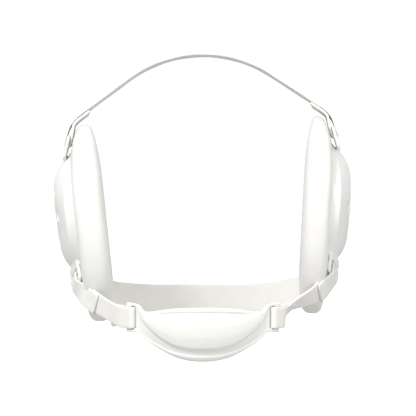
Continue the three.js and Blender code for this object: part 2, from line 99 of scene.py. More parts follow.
# The straps
STRAP_THICKNESS = 2
WIDE_STRAP = 25
CHIN_STRAP = 16
STRAP_GAP = 0.5
KNEE = 9
KNEE_OVER_PAD = 2
NAPE_KNEE_RISE = 62
NAPE_EASE = 0.5
CHIN_EASE = 0.15
TAIL = 16
CROWN_LUG = {"angle": 88, "tilt": 0, "turn": 0, "width": WIDE_STRAP}
CHIN_LUG = {"angle": -64, "tilt": 1.2, "turn": 14, "width": CHIN_STRAP}
NAPE_LUG = {"angle": 230, "tilt": 3, "turn": 0, "width": WIDE_STRAP}

# The chin cup
CUP_HALF_WIDTH = 57
CUP_HEIGHT = 39
CUP_TOP = -69
CHIN_REACH = 104
CUP_SAG = 32
CUP_WALL = 3
CUP_TUCK = 13
TUCK_POWER = 2.4
CURVE_FADE = 2
FORM_FADE = 8
LIP_RISE = 1.2
BOSS_RISE = 2
BOSS_TIP = 0.9
BOSS_TAPER = 4
BOSS_LEAST = 0.12
BEAD_RISE = 0.9
CUP_BAR = 5
CUP_END_MARGIN = 1.5

SHELL_FOOT = PAD_THICKNESS + CLEARANCE
CAP_EDGE = SHELL_FOOT + CAP_WALL_RISE
LUG_UNDER = SHELL_FOOT + STRAP_THICKNESS + 2 * STRAP_GAP


# Meshes from rows of points

SMOOTH_FACTOR = 0.5


def mesh_object(name, vertices, faces, smooth=True):
    mesh = bpy.data.meshes.new(name)
    mesh.from_pydata([tuple(v) for v in np.asarray(vertices) * MM], [], faces)
    mesh.update()
    if smooth:
        mesh.polygons.foreach_set("use_smooth", [True] * len(mesh.polygons))
    item = bpy.data.objects.new(name, mesh)
    bpy.context.scene.collection.objects.link(item)
    return item


def skin(name, rows, loop=False):
    """A closed body from rows of points. A row of one point is a tip."""
    starts = np.cumsum([0] + [len(row) for row in rows])
    faces = []
    pairs = [(i, i + 1) for i in range(len(rows) - 1)] + ([(len(rows) - 1, 0)] if loop else [])
    for one, two in pairs:
        count = max(len(rows[one]), len(rows[two]))
        for c in range(count):
            a = starts[one] + c % len(rows[one])
            b = starts[one] + (c + 1) % len(rows[one])
            d = starts[two] + c % len(rows[two])
            e = starts[two] + (c + 1) % len(rows[two])
            corners = [a, d, e, b]
            unique = list(dict.fromkeys(corners))
            if len(unique) > 2:
                faces.append(unique)
    item = mesh_object(name, np.vstack([np.asarray(row).reshape(-1, 3) for row in rows]), faces)
    body = bmesh.new()
    body.from_mesh(item.data)
    bmesh.ops.recalc_face_normals(body, faces=body.faces)
    body.to_mesh(item.data)
    body.free()
    return item


def apply_modifiers(item):
    bpy.context.view_layer.update()
    graph = bpy.context.evaluated_depsgraph_get()
    made = bpy.data.meshes.new_from_object(item.evaluated_get(graph))
    old = item.data
    item.modifiers.clear()
    item.data = made
    made.name = item.name
    bpy.data.meshes.remove(old)
    return item


def voxel_joined(item, size, rounding):
    """The parts of a moulding run together into one skin, with small fillets and no sharp edge."""
    remesh = item.modifiers.new("Remesh", "REMESH")
    remesh.mode = "VOXEL"
    remesh.voxel_size = size * MM
    remesh.adaptivity = 0
    remesh.use_smooth_shade = True
    smooth = item.modifiers.new("Smooth", "SMOOTH")
    smooth.factor = SMOOTH_FACTOR
    smooth.iterations = rounding
    return apply_modifiers(item)


def join(name, items):
    """Several meshes as one object."""
    body = bmesh.new()
    for item in items:
        item.data.transform(item.matrix_world)
        body.from_mesh(item.data)
    mesh = bpy.data.meshes.new(name)
    body.to_mesh(mesh)
    body.free()
    for item in items:
        bpy.data.objects.remove(item)
    made = bpy.data.objects.new(name, mesh)
    bpy.context.scene.collection.objects.link(made)
    mesh.polygons.foreach_set("use_smooth", [True] * len(mesh.polygons))
    return made


def unit(vector):
    vector = np.asarray(vector, float)
    return vector / np.linalg.norm(vector)


def turned_about(vector, axis, angle):
    axis = unit(axis)
    vector = np.asarray(vector, float)
    return (
        vector * math.cos(angle)
        + np.cross(axis, vector) * math.sin(angle)
        + axis * (axis @ vector) * (1 - math.cos(angle))
    )


# Curves

def curve_point(points, t):
    """A point of the smooth open curve through the points, at a share of its spans."""
    spans = len(points) - 1
    at = min(int(t * spans), spans - 1)
    weight = t * spans - at
    p1, p2 = points[at], points[at + 1]
    p0 = points[at - 1] if at > 0 else 2 * points[0] - points[1]
    p3 = points[at + 2] if at + 2 < len(points) else 2 * points[-1] - points[-2]
    gaps = [np.sum((b - a) ** 2) ** 0.25 for a, b in ((p0, p1), (p1, p2), (p2, p3))]
    first = (p1 - p0) / gaps[0] - (p2 - p0) / (gaps[0] + gaps[1]) + (p2 - p1) / gaps[1]
    last = (p2 - p1) / gaps[1] - (p3 - p1) / (gaps[1] + gaps[2]) + (p3 - p2) / gaps[2]
    first, last = first * gaps[1], last * gaps[1]
    square = -3 * p1 + 3 * p2 - 2 * first - last
    cube = 2 * p1 - 2 * p2 + first + last
    return p1 + first * weight + square * weight**2 + cube * weight**3


def bezier(points, t):
    points = [np.asarray(p, float) for p in points]
    while len(points) > 1:
        points = [a * (1 - t) + b * t for a, b in zip(points, points[1:])]
    return points[0]


def even_points(points, step):
    """Points a step apart along a dense line."""
    points = np.asarray(points)
    lengths = np.r_[0, np.cumsum(np.linalg.norm(np.diff(points, axis=0), axis=1))]
    count = max(int(math.ceil(lengths[-1] / step)), 2)
    wanted = np.linspace(0, lengths[-1], count + 1)
    return np.stack([np.interp(wanted, lengths, points[:, axis]) for axis in range(3)], axis=1)


# The side of the head as the guard lies on it

def settle(side, ahead, above, out):
    """Points in a guard: ahead of the ear, above the ear and out from the head."""
    ahead, above, out = (np.asarray(v, float) for v in np.broadcast_arrays(ahead, above, out))
    end = (above - PAD_LIFT) / (PAD_HEIGHT / 2)
    drop = np.where(end > 0, TOP_DROP, LOW_DROP) * np.abs(end) ** DROP_POWER
    inside = np.maximum(1 - out / PAD_THICKNESS, 0)
    filled = (INNER_FILL[side] + TOP_FILL * np.maximum(end, 0) ** 2) * inside
    wrap = WRAP_DEPTH * (ahead / (PAD_DEPTH / 2)) ** 2
    return np.stack([side * (out - wrap - drop * (1 - inside) - filled), -ahead, above], axis=-1)


def guard_matrix(side):
    lean = Matrix.Rotation(math.radians(side * LEAN[side]), 4, "Y")
    yaw = Matrix.Rotation(math.radians(-side * GUARD_YAW), 4, "Z")
    return Matrix.Translation((side * HEAD_HALF_WIDTH, 0, LIFT[side])) @ lean @ yaw


def to_world(side, points):
    matrix = np.array(guard_matrix(side))
    return np.asarray(points) @ matrix[:3, :3].T + matrix[:3, 3]


# Shells

ROUND_STEPS = 192
DOME_STEPS = 24
SHELL_VOXEL = 0.7
SHELL_ROUNDING = 4
LUG_EDGE = 0.5
DRILL_REACH = 15
DRILL_STEPS = 40
FOOT_SINK = 1.6
FOOT_FILLET = [(-1.8, -0.2), (-0.9, 0.1), (-0.3, 0.6), (0.1, 1.4)]
CAP_TURN = np.linspace(0, 2 * math.pi, ROUND_STEPS, endpoint=False)


def cap_ring(side, share, inset, out):
    ahead = (CAP_DEPTH / 2 - inset) * share * np.cos(CAP_TURN)
    above = CAP_LIFT + (CAP_HEIGHT / 2 - inset) * share * np.sin(CAP_TURN)
    return settle(side, ahead, above, out)


def cap_out(share):
    """How far out the cap's face is. Its wall is tallest at the front and back."""
    endwise = np.sin(CAP_TURN) ** 2
    rise = CAP_WALL_RISE * (1 - (1 - WALL_LOW) * endwise)
    power = DOME_POWER + (END_DOME_POWER - DOME_POWER) * endwise
    return SHELL_FOOT + rise + (CAP_WALL_RISE + CAP_DOME - rise) * (1 - share**power)


def cap_body(side):
    """The cap, with its foot pressed a little into the foam."""
    shares = [math.sin(step / DOME_STEPS * math.pi / 2) for step in range(1, DOME_STEPS + 1)]
    outer = [cap_ring(side, share, CAP_DRAFT, cap_out(share)) for share in shares]
    unders = [np.maximum(cap_out(share) - SHELL_WALL, SHELL_FOOT) for share in shares]
    inner = [cap_ring(side, share, CAP_DRAFT + SHELL_WALL, under) for share, under in zip(shares, unders)]
    pressed = SHELL_FOOT - FOOT_SINK
    foot = [cap_ring(side, 1, inset, SHELL_FOOT + rise) for inset, rise in FOOT_FILLET[::-1]]
    foot += [cap_ring(side, 1, FOOT_FILLET[0][0], pressed), cap_ring(side, 1, SHELL_WALL, pressed)]
    top = settle(side, 0, CAP_LIFT, CAP_EDGE + CAP_DOME)
    under = settle(side, 0, CAP_LIFT, CAP_EDGE + CAP_DOME - SHELL_WALL)
    return skin("cap", [[top], *outer, *foot, *inner[::-1], [under]])


def cap_reach(angle):
    turn = math.radians(angle)
    return 1 / math.hypot(math.cos(turn) / (CAP_DEPTH / 2), math.sin(turn) / (CAP_HEIGHT / 2))


def lug_point(side, angle, along, across, out):
    turn = math.radians(angle)
    ahead = along * math.cos(turn) - across * math.sin(turn)
    above = CAP_LIFT + along * math.sin(turn) + across * math.cos(turn)
    return settle(side, ahead, above, out)


def bar_start(angle):
    return cap_reach(angle) + STRAP_THICKNESS + SLOT_OPENING


def lug_frame(side, lug):
    """The middle of the bar's inner edge, and the directions away from the cap, across and outward."""
    middle = LUG_UNDER + LUG_THICKNESS / 2
    start = bar_start(lug["angle"])
    edge = lug_point(side, lug["angle"], start, 0, middle)
    away = unit(lug_point(side, lug["angle"], start + LUG_BAR, 0, middle) - edge)
    across = lug_point(side, lug["angle"], start, 1, middle) - edge
    across = unit(across - away * (across @ away))
    inward = -side * np.sign(np.cross(across, away)[0])
    away = turned_about(away, across, inward * math.radians(lug["tilt"]))
    front = across * -np.sign(across[1])
    towards_head = -side * np.sign(np.cross(away, front)[0])
    across = turned_about(across, away, towards_head * math.radians(lug["turn"]))
    outward = np.cross(across, away)
    outward = outward * np.sign(outward[0]) * side
    return edge, away, across, outward


def rounded_rectangle(left, bottom, width, height, radius, steps=8):
    corners = [
        (left + width - radius, bottom + radius, -90),
        (left + width - radius, bottom + height - radius, 0),
        (left + radius, bottom + height - radius, 90),
        (left + radius, bottom + radius, 180),
    ]
    points = []
    for x, y, start in corners:
        for step in range(steps + 1):
            turn = math.radians(start + 90 * step / steps)
            points.append((x + radius * math.cos(turn), y + radius * math.sin(turn)))
    return points


def plate(name, outlines, thickness, bevel):
    """A flat plate with rounded edges. The outlines after the first are holes."""
    curve = bpy.data.curves.new(name, "CURVE")
    curve.dimensions = "2D"
    curve.fill_mode = "BOTH"
    curve.extrude = (thickness / 2 - bevel) * MM
    curve.bevel_depth = bevel * MM
    curve.bevel_resolution = 3
    curve.offset = -bevel * MM
    for outline in outlines:
        spline = curve.splines.new("POLY")
        spline.points.add(len(outline) - 1)
        for point, (x, y) in zip(spline.points, outline):
            point.co = (x * MM, y * MM, 0, 1)
        spline.use_cyclic_u = True
    holder = bpy.data.objects.new(name, curve)
    bpy.context.scene.collection.objects.link(holder)
    bpy.context.view_layer.update()
    graph = bpy.context.evaluated_depsgraph_get()
    mesh = bpy.data.meshes.new_from_object(holder.evaluated_get(graph))
    bpy.data.objects.remove(holder)
    item = bpy.data.objects.new(name, mesh)
    bpy.context.scene.collection.objects.link(item)
    body = bmesh.new()
    body.from_mesh(mesh)
    bmesh.ops.remove_doubles(body, verts=body.verts, dist=1e-6)
    bmesh.ops.recalc_face_normals(body, faces=body.faces)
    body.to_mesh(mesh)
    body.free()
    return item


def lug_body(side, lug):
    slot_width = lug["width"] + 2 * SLOT_CLEARANCE
    width = slot_width + 2 * LUG_SIDE
    root = cap_reach(lug["angle"]) - LUG_ROOT - bar_start(lug["angle"])
    outer = rounded_rectangle(-width / 2, root, width, LUG_BAR - root, LUG_CORNER)
    slot = rounded_rectangle(-slot_width / 2, -SLOT_OPENING, slot_width, SLOT_OPENING, SLOT_CORNER)
    item = plate("lug", [outer, slot[::-1]], LUG_THICKNESS, LUG_EDGE)
    edge, away, _, outward = lug_frame(side, lug)
    place = np.eye(4)
    place[:3, 0], place[:3, 1], place[:3, 2] = np.cross(away, outward), away, outward
    place[:3, 3] = edge * MM
    item.data.transform(Matrix(place))
    return item


def holes_body(side):
    """Drills for the sound holes in the cap's face."""
    drills = []
    swing = np.linspace(0, 2 * math.pi, DRILL_STEPS, endpoint=False)
    ring = np.stack([0 * swing, np.cos(swing), np.sin(swing)], 1) * HOLE_DIAMETER / 2
    outward = np.array((DRILL_REACH, 0, 0))
    for hole in range(HOLES):
        turn = hole / HOLES * 2 * math.pi
        ahead = HOLE_CIRCLE / 2 * math.cos(turn)
        above = CAP_LIFT + HOLE_CIRCLE / 2 * math.sin(turn)
        middle = settle(side, ahead, above, CAP_EDGE + CAP_DOME)
        first, last = middle - outward, middle + outward
        drills.append(skin("drill", [[first], first + ring, last + ring, [last]]))
    return join("drills", drills)


def shell(side):
    cap = cap_body(side)
    drills = holes_body(side)
    cut = cap.modifiers.new("Holes", "BOOLEAN")
    cut.object = drills
    cut.operation = "DIFFERENCE"
    apply_modifiers(cap)
    bpy.data.objects.remove(drills)
    parts = [cap] + [lug_body(side, lug) for lug in (CROWN_LUG, CHIN_LUG, NAPE_LUG)]
    item = join(f"shell_{SIDE_NAMES[side]}", parts)
    item.data.transform(Matrix.Scale(1 / MM, 4))
    matrix = guard_matrix(side)
    item.data.transform(matrix)
    item.data.transform(Matrix.Scale(MM, 4))
    voxel_joined(item, SHELL_VOXEL, SHELL_ROUNDING)
    return item


# Straps. A route is a list of places, each a point and the direction of the strap's width.

ROUTE_STEP = 1.25
TURN_STEPS = 20
BEZIER_STEPS = 120
CROWN_ARC_STEPS = 200
NAPE_ARC_STEPS = 160
WIDTH_STEPS = 9
EDGE_STEPS = 7
EDGE_ROUND = 0.7
SNUG_GAP = 0.15
TAIL_GAP = 0.4
WAVE_HEIGHT = 0.2
WAVE_LENGTH = 31


def bar_turn(edge, away, outward, across, bar_width, bar_thickness):
    """The way round a bar: under it, through the slot and back over it."""
    radius = bar_thickness / 2 + SNUG_GAP + STRAP_THICKNESS / 2
    swings = [math.pi * (step / TURN_STEPS - 0.5) for step in range(TURN_STEPS + 1)]
    spots = [(-radius * math.cos(swing), radius * math.sin(swing)) for swing in swings]
    spots = [(bar_width, -radius), *spots, (bar_width, radius)]
    return [(edge + away * along + outward * rise, across) for along, rise in spots]


def lug_turn(side, lug):
    turn = np.array(guard_matrix(side))[:3, :3]
    edge, away, across, outward = lug_frame(side, lug)
    edge = to_world(side, edge)
    away, across, outward = turn @ away, turn @ across, turn @ outward
    return {"edge": edge, "away": away, "across": across,
            "route": bar_turn(edge, away, outward, across, LUG_BAR, LUG_THICKNESS)}


def places_along(points, first_across, last_across):
    line = even_points(points, ROUTE_STEP)
    shares = np.linspace(0, 1, len(line))
    return [(p, unit(first_across * (1 - s) + last_across * s)) for p, s in zip(line, shares)]


def bezier_line(*points):
    return [bezier(points, t) for t in np.linspace(0, 1, BEZIER_STEPS)]


def back_across(route):
    return [(point, -across) for point, across in route]


def tangent_at(route, index):
    return unit(route[min(index + 1, len(route) - 1)][0] - route[max(index - 1, 0)][0])


def tail_route(main, length, droop=0, outside=False):
    """The free end that lies along a strap, from its tip back to the bar."""
    offset = (STRAP_THICKNESS + TAIL_GAP) * (-1 if outside else 1)
    tail = []
    walked = 0
    for index in range(1, len(main) - 1):
        if walked >= KNEE + length:
            break
        walked += np.linalg.norm(main[index][0] - main[index - 1][0])
        if walked < KNEE:
            continue
        inward = unit(np.cross(tangent_at(main, index), main[index][1]))
        point = main[index][0] + inward * offset
        point[2] -= droop * (walked - KNEE) / length
        tail.insert(0, (point, main[index][1]))
    return tail


def threaded(first_turn, main, last_turn, tail):
    """A strap between two bars: tail, turn, main run, turn and tail."""
    back = back_across(main[::-1])
    return [
        *tail_route(main, tail),
        *first_turn[:-1],
        *main,
        *last_turn[::-1][1:],
        *back_across(tail_route(back, tail)[::-1]),
    ]


def crown_half(side):
    turn = lug_turn(side, CROWN_LUG)
    radius = CROWN_RADIUS + STRAP_THICKNESS / 2
    centre = np.array([0, CROWN_BACK, CROWN_HEIGHT - CROWN_RADIUS])
    start = turn["route"][-1][0]
    bend = PAD_HEIGHT / 2 + PAD_LIFT + KNEE_OVER_PAD - CAP_LIFT - bar_start(CROWN_LUG["angle"]) - LUG_BAR
    knee = start + turn["away"] * bend
    reach = math.hypot(knee[0] - centre[0], knee[2] - centre[2])
    knee_angle = math.atan2(knee[2] - centre[2], abs(knee[0] - centre[0]))
    touch_angle = knee_angle + math.acos(radius / reach)

    def on_head(angle):
        return np.array([side * radius * math.cos(angle), CROWN_BACK, centre[2] + radius * math.sin(angle)])

    touch = on_head(touch_angle)
    after = knee + unit(touch - knee) * bend
    back = np.array([0.0, 1.0, 0.0])
    places = places_along(bezier_line(start, knee, after), turn["across"], back)[1:]
    places += places_along([after, touch], back, back)[1:]
    arc = [on_head(angle) for angle in np.linspace(touch_angle, math.pi / 2, CROWN_ARC_STEPS)]
    places += places_along(arc, back, back)[1:]
    return turn, places


def crown_route():
    (left, first), (right, last) = crown_half(LEFT), crown_half(RIGHT)
    main = [left["route"][-1], *first, *last[::-1][1:], right["route"][-1]]
    return main, threaded(left["route"], main, right["route"], TAIL)


def nape_half(side):
    turn = lug_turn(side, NAPE_LUG)
    radius = NAPE_RADIUS + STRAP_THICKNESS / 2
    centre_y = NAPE_REACH - NAPE_RADIUS
    down = np.array([0.0, 0.0, -1.0])
    start = turn["route"][-1][0]
    reach = math.hypot(start[0], start[1] - centre_y)
    touch_angle = math.atan2(start[1] - centre_y, abs(start[0])) + math.acos(radius / reach)

    def on_nape(angle):
        return np.array([side * radius * math.cos(angle), centre_y + radius * math.sin(angle), -NAPE_DROP])

    touch = on_nape(touch_angle)
    along = np.array([-side * math.sin(touch_angle), math.cos(touch_angle), 0])
    ease = touch - along * np.linalg.norm(start - touch) * NAPE_EASE
    bend = PAD_HEIGHT / 2 - PAD_LIFT - NAPE_KNEE_RISE
    line = bezier_line(start, start + turn["away"] * bend, ease, touch)
    places = places_along(line, turn["across"], down)[1:]
    arc = [on_nape(angle) for angle in np.linspace(touch_angle, math.pi / 2, NAPE_ARC_STEPS)]
    places += places_along(arc, down, down)[1:]
    return turn, places


def nape_route():
    (left, first), (right, last) = nape_half(LEFT), nape_half(RIGHT)
    main = [left["route"][-1], *first, *last[::-1][1:], right["route"][-1]]
    return main, threaded(left["route"], main, right["route"], TAIL)


# The chin cup

END_MIDDLE = 0.195
END_TIP = 0.04
END_HALF = (CHIN_STRAP / 2 + SLOT_CLEARANCE + CUP_END_MARGIN) / CUP_HEIGHT
CUP_BODY_SHARE = 0.86
CUP_SLOT_EDGE = 1 - CUP_BAR / math.hypot(CUP_HALF_WIDTH, 2 * CUP_SAG)
CUP_STEPS = 220
CUP_DOWN_STEPS = 90
CUTTER_REACH = 8
CUP_VOXEL = 0.5
CUP_ROUNDING = 2

# Shares of the half width, and of the height below the lip for the top and bottom edges
CUP_SECTIONS = [
    (0, -0.04, 1),
    (0.24, -0.033, 0.98),
    (0.46, -0.004, 0.9),
    (0.68, 0.05, 0.71),
    (0.79, 0.04, 0.57),
    (CUP_BODY_SHARE, END_MIDDLE - END_HALF, END_MIDDLE + END_HALF),
    (1, END_MIDDLE - END_HALF - END_TIP, END_MIDDLE + END_HALF + END_TIP / 2),
]

# From the lip down: share of the height, lip, boss, bead
CUP_PROFILE = np.array([
    (0, 0.2, 0, 0),
    (0.02, 1, 0, 0),
    (0.07, 1, 0, 0),
    (0.1, 0, 0, 0),
    (0.16, 0, 1, 0),
    (0.35, 0, 1.15, 0),
    (0.55, 0, 1.15, 0),
    (0.74, 0, 0.9, 0),
    (0.82, 0, 0, 0),
    (0.88, 0, 0, 0),
    (0.91, 0, 0, 1),
    (0.96, 0, 0, 1),
    (1, 0, 0, 0),
])

CUP_CURVE = [np.array((-a, t, b), float) for a, t, b in CUP_SECTIONS[:0:-1]]
CUP_CURVE += [np.array(row, float) for row in CUP_SECTIONS]


def cup_plan(share):
    slope = 2 * CUP_SAG * share / CUP_HALF_WIDTH
    point = np.array([CUP_HALF_WIDTH * share, CUP_SAG * share**2 - CHIN_REACH, 0])
    return point, unit((slope, -1, 0)), unit((1, slope, 0))


def cup_fade(share, power):
    return max(1 - (abs(share) / CUP_BODY_SHARE) ** power, 0)


def cup_point(section, down, rise):
    point, outward, _ = cup_plan(section[0])
    tuck = CUP_TUCK * cup_fade(section[0], CURVE_FADE) * down**TUCK_POWER
    point = point + outward * (rise - tuck)
    point[2] = CUP_TOP - CUP_HEIGHT * (section[1] + (section[2] - section[1]) * down)
    return point


def cup_section(section, downs):
    fade = cup_fade(section[0], FORM_FADE)
    reach = max(1 - abs(section[0] / BOSS_TIP) ** BOSS_TAPER, BOSS_LEAST)
    lip, bead = (np.interp(downs, CUP_PROFILE[:, 0], CUP_PROFILE[:, column]) for column in (1, 3))
    boss = np.interp(downs / reach, CUP_PROFILE[:, 0], CUP_PROFILE[:, 2])
    rises = (LIP_RISE * lip + BOSS_RISE * boss + BEAD_RISE * bead) * fade
    front = [cup_point(section, down, rise) for down, rise in zip(downs, rises)]
    back = [cup_point(section, down, -CUP_WALL) for down in downs]
    return np.array(front + back[::-1])


def cup_end(side):
    point, outward, away = cup_plan(side * CUP_SLOT_EDGE)
    end = CUP_CURVE[-1]
    edge = point - outward * CUP_WALL / 2
    edge[2] = CUP_TOP - CUP_HEIGHT * (end[1] + end[2]) / 2
    return edge, outward, away * side


def chin_cup():
    downs = np.linspace(0, 1, CUP_DOWN_STEPS)
    shares = [step / CUP_STEPS for step in range(CUP_STEPS + 1)]
    rows = [cup_section(curve_point(CUP_CURVE, share), downs) for share in shares]
    rows = [rows[0].mean(0, keepdims=True), *rows, rows[-1].mean(0, keepdims=True)]
    item = skin("chin_cup_moulding", rows)
    for side in (LEFT, RIGHT):
        edge, outward, away = cup_end(side)
        height = CHIN_STRAP + 2 * SLOT_CLEARANCE
        slot = rounded_rectangle(-SLOT_OPENING, -height / 2, SLOT_OPENING, height, SLOT_CORNER)
        rows = []
        for depth in (-CUTTER_REACH, CUTTER_REACH):
            rows.append([edge + away * x + np.array([0, 0, y]) + outward * depth for x, y in slot])
        cutter = skin("cutter", [[np.mean(rows[0], 0)], *rows, [np.mean(rows[1], 0)]])
        cut = item.modifiers.new("Slot", "BOOLEAN")
        cut.object = cutter
        cut.operation = "DIFFERENCE"
        apply_modifiers(item)
        bpy.data.objects.remove(cutter)
    return voxel_joined(item, CUP_VOXEL, CUP_ROUNDING)


# How the chin straps turn on their way, in degrees, and the free ends' lengths
LUG_TWIST = {LEFT: 7, RIGHT: 22}
JAW_TWIST = {LEFT: 43, RIGHT: 5}
TWIST_RUN = 9
CUP_TWIST_RUN = 13
JAW_START = 0.25
JAW_FULL = 0.7
LUG_TAIL = {LEFT: 9, RIGHT: 17}
CUP_TAIL = 12
CUP_TAIL_DROOP = 5.5


def eased(share):
    share = min(max(share, 0), 1)
    return share**2 * (3 - 2 * share)


def twisted(route, jaw_angle, lug_angle):
    """A strap's places turned to face ahead by the lug, and in to the jaw by the cup.

    By the cup it turns about its upper edge.
    """
    made = []
    for index, (point, across) in enumerate(route):
        share = index / (len(route) - 1)
        facing = eased(index * ROUTE_STEP / TWIST_RUN) * math.cos(math.pi / 2 * share) ** 2
        falling = eased((len(route) - 1 - index) * ROUTE_STEP / CUP_TWIST_RUN)
        jaw = jaw_angle * eased((share - JAW_START) / (JAW_FULL - JAW_START)) * falling
        tangent = tangent_at(route, index)
        held = across - turned_about(across, tangent, math.radians(jaw))
        turned = turned_about(across, tangent, math.radians(jaw + lug_angle * facing))
        made.append((point + held * np.sign(across[2]) * CHIN_STRAP / 2, turned))
    return made


def chin_route(side):
    """From the free end outside the lug, under its bar and along the jaw, to the fold at the cup."""
    lug = lug_turn(side, CHIN_LUG)
    edge, outward, away = cup_end(side)
    up = np.array([0.0, 0.0, 1.0])
    cup_turn = bar_turn(edge, away, outward, up, CUP_BAR + STRAP_THICKNESS, CUP_WALL + 2 * CLEARANCE)
    start, end = lug["route"][0][0], cup_turn[-1][0]
    ease = end + away * np.linalg.norm(start - end) * CHIN_EASE
    line = bezier_line(start, start + lug["away"] * KNEE, ease, end)
    main = places_along(line, lug["across"], up)
    flip = 1 if side == LEFT else -1

    def flipped(route):
        return [(point, across * flip) for point, across in route]

    main = twisted(flipped(main), -side * JAW_TWIST[side], side * LUG_TWIST[side])
    return [
        *tail_route(main, LUG_TAIL[side], outside=True),
        *flipped(lug["route"])[::-1][:-1],
        *main,
        *flipped(cup_turn)[::-1][1:],
        *back_across(tail_route(back_across(main[::-1]), CUP_TAIL, CUP_TAIL_DROOP)[::-1]),
    ]


def smoothed_route(route):
    """The same way with even steps and no sharp kink where a tail joins."""
    points = np.array([point for point, _ in route])
    across = np.array([direction for _, direction in route])
    lengths = np.r_[0, np.cumsum(np.linalg.norm(np.diff(points, axis=0), axis=1))]
    wanted = np.arange(0, lengths[-1], ROUTE_STEP / 2)
    points = np.stack([np.interp(wanted, lengths, points[:, k]) for k in range(3)], 1)
    across = np.stack([np.interp(wanted, lengths, across[:, k]) for k in range(3)], 1)
    for _ in range(4):
        points[1:-1] = points[1:-1] / 2 + (points[:-2] + points[2:]) / 4
    return [(point, unit(direction)) for point, direction in zip(points, across)], wanted


def section_outline(width):
    """The strap's cross-section: sideways and outward, with rounded edges."""
    half = STRAP_THICKNESS / 2
    flat = width / 2 - EDGE_ROUND
    sideways = np.linspace(-flat, flat, WIDTH_STEPS)
    turn = np.radians(np.linspace(-90, 90, EDGE_STEPS))[1:-1]
    right = [(flat + EDGE_ROUND * math.cos(t), half * math.sin(t)) for t in turn]
    left = [(-flat - EDGE_ROUND * math.cos(t), -half * math.sin(t)) for t in turn]
    return [(s, -half) for s in sideways] + right + [(s, half) for s in sideways[::-1]] + left


def ribbon(name, route, width):
    route, lengths = smoothed_route(route)
    outline = section_outline(width)
    rows = []
    for index, (point, across) in enumerate(route):
        tangent = tangent_at(route, index)
        across = unit(across - tangent * (across @ tangent))
        out = np.cross(across, tangent)
        wave = WAVE_HEIGHT * math.sin(lengths[index] / WAVE_LENGTH * 2 * math.pi)
        rows.append([
            point + across * sideways + out * (outward + wave * (sideways / (width / 2)) ** 3 * 0.5)
            for sideways, outward in outline
        ])
    first, last = np.mean(rows[0], 0, keepdims=True), np.mean(rows[-1], 0, keepdims=True)
    item = skin(name, [first, *rows, last])
    along = np.r_[lengths[0], np.repeat(lengths, len(outline)), lengths[-1]] * MM
    sideways = np.r_[0, np.tile([s for s, _ in outline], len(rows)), 0] * MM
    layer = item.data.uv_layers.new(name="Strap")
    corners = np.empty(len(item.data.loops), int)
    item.data.loops.foreach_get("vertex_index", corners)
    layer.data.foreach_set("uv", np.stack([along[corners], sideways[corners]], 1).ravel())
    return item


STITCH_LENGTH = 2.3
STITCH_PITCH = 3.2
STITCH_RADIUS = 0.35
STITCH_MARGIN = 3
STITCH_START = KNEE + 4
STITCH_RUN = TAIL - 6

# Along a stitch: share of half its length, share of its radius
STITCH_FORM = [(-1, 0.35), (-0.8, 0.8), (-0.3, 1), (0.3, 1), (0.8, 0.8), (1, 0.35)]


def stitch(middle, along, out):
    """One short thread with rounded ends, half sunk in the webbing."""
    side = np.cross(along, out)
    rows = []
    for share, size in STITCH_FORM:
        ring = np.radians(np.arange(0, 360, 45))
        rows.append([
            middle + along * share * STITCH_LENGTH / 2
            + (side * math.cos(t) + out * math.sin(t)) * STITCH_RADIUS * size
            for t in ring
        ])
    ends = [[middle - along * STITCH_LENGTH / 2], [middle + along * STITCH_LENGTH / 2]]
    return skin("stitch", [ends[0], *rows, ends[1]])


def stitch_box(main, width, first, length):
    """Stitches round a rectangle of the strap's outer face, over its tail."""
    made = []
    lengths = np.r_[0, np.cumsum([np.linalg.norm(b[0] - a[0]) for a, b in zip(main, main[1:])])]

    def place(along, sideways):
        index = int(np.searchsorted(lengths, along))
        index = min(max(index, 1), len(main) - 2)
        tangent = tangent_at(main, index)
        across = unit(main[index][1] - tangent * (main[index][1] @ tangent))
        out = np.cross(across, tangent)
        point = main[index][0] + tangent * (along - lengths[index]) + across * sideways
        return point + out * (STRAP_THICKNESS / 2), tangent, across, out

    inner = width - 2 * STITCH_MARGIN
    rows = int(round(length / STITCH_PITCH))
    columns = int(round(inner / STITCH_PITCH))
    for row in range(rows):
        for sideways in (-inner / 2, inner / 2):
            point, tangent, _, out = place(first + (row + 0.5) * length / rows, sideways)
            made.append(stitch(point, tangent, out))
    for column in range(columns):
        for along in (first, first + length):
            sideways = -inner / 2 + (column + 0.5) * inner / columns
            point, _, across, out = place(along, sideways)
            made.append(stitch(point, across, out))
    return made


# Pads

PAD_COLUMNS = 132
ROLL_ROWS = 16
FACE_ROWS = 7
HOLE_ROWS = 5
OUTER_FULLNESS = 3.2
INNER_FULLNESS = 2.2
INNER_ROLL = 13
TOP_ROLL = 12
TOP_POWER = 5
PAD_START_INSET = 1.3
PAD_SWELL = 2.4
PAD_PRESSURE = 4
PAD_TENSION = 20
PAD_BENDING = 2
SWELL_FRAMES = 20
GROOVE_DEPTH = 0.35
GROOVE_OUT = 3
GROOVE_WIDTH = 2.5
UNEVEN_RISE = 0.22
UNEVEN_AHEAD = 13
UNEVEN_ABOVE = 17

# The pad's rim: shares of half its depth and half its height
PAD_OUTLINE = [
    (1.0, 0.04), (0.94, 0.5), (0.64, 0.87), (0.08, 1.0), (-0.52, 0.9), (-0.91, 0.52),
    (-1.0, 0.04), (-0.89, -0.45), (-0.57, -0.84), (-0.04, -1.0), (0.48, -0.86), (0.85, -0.48),
]


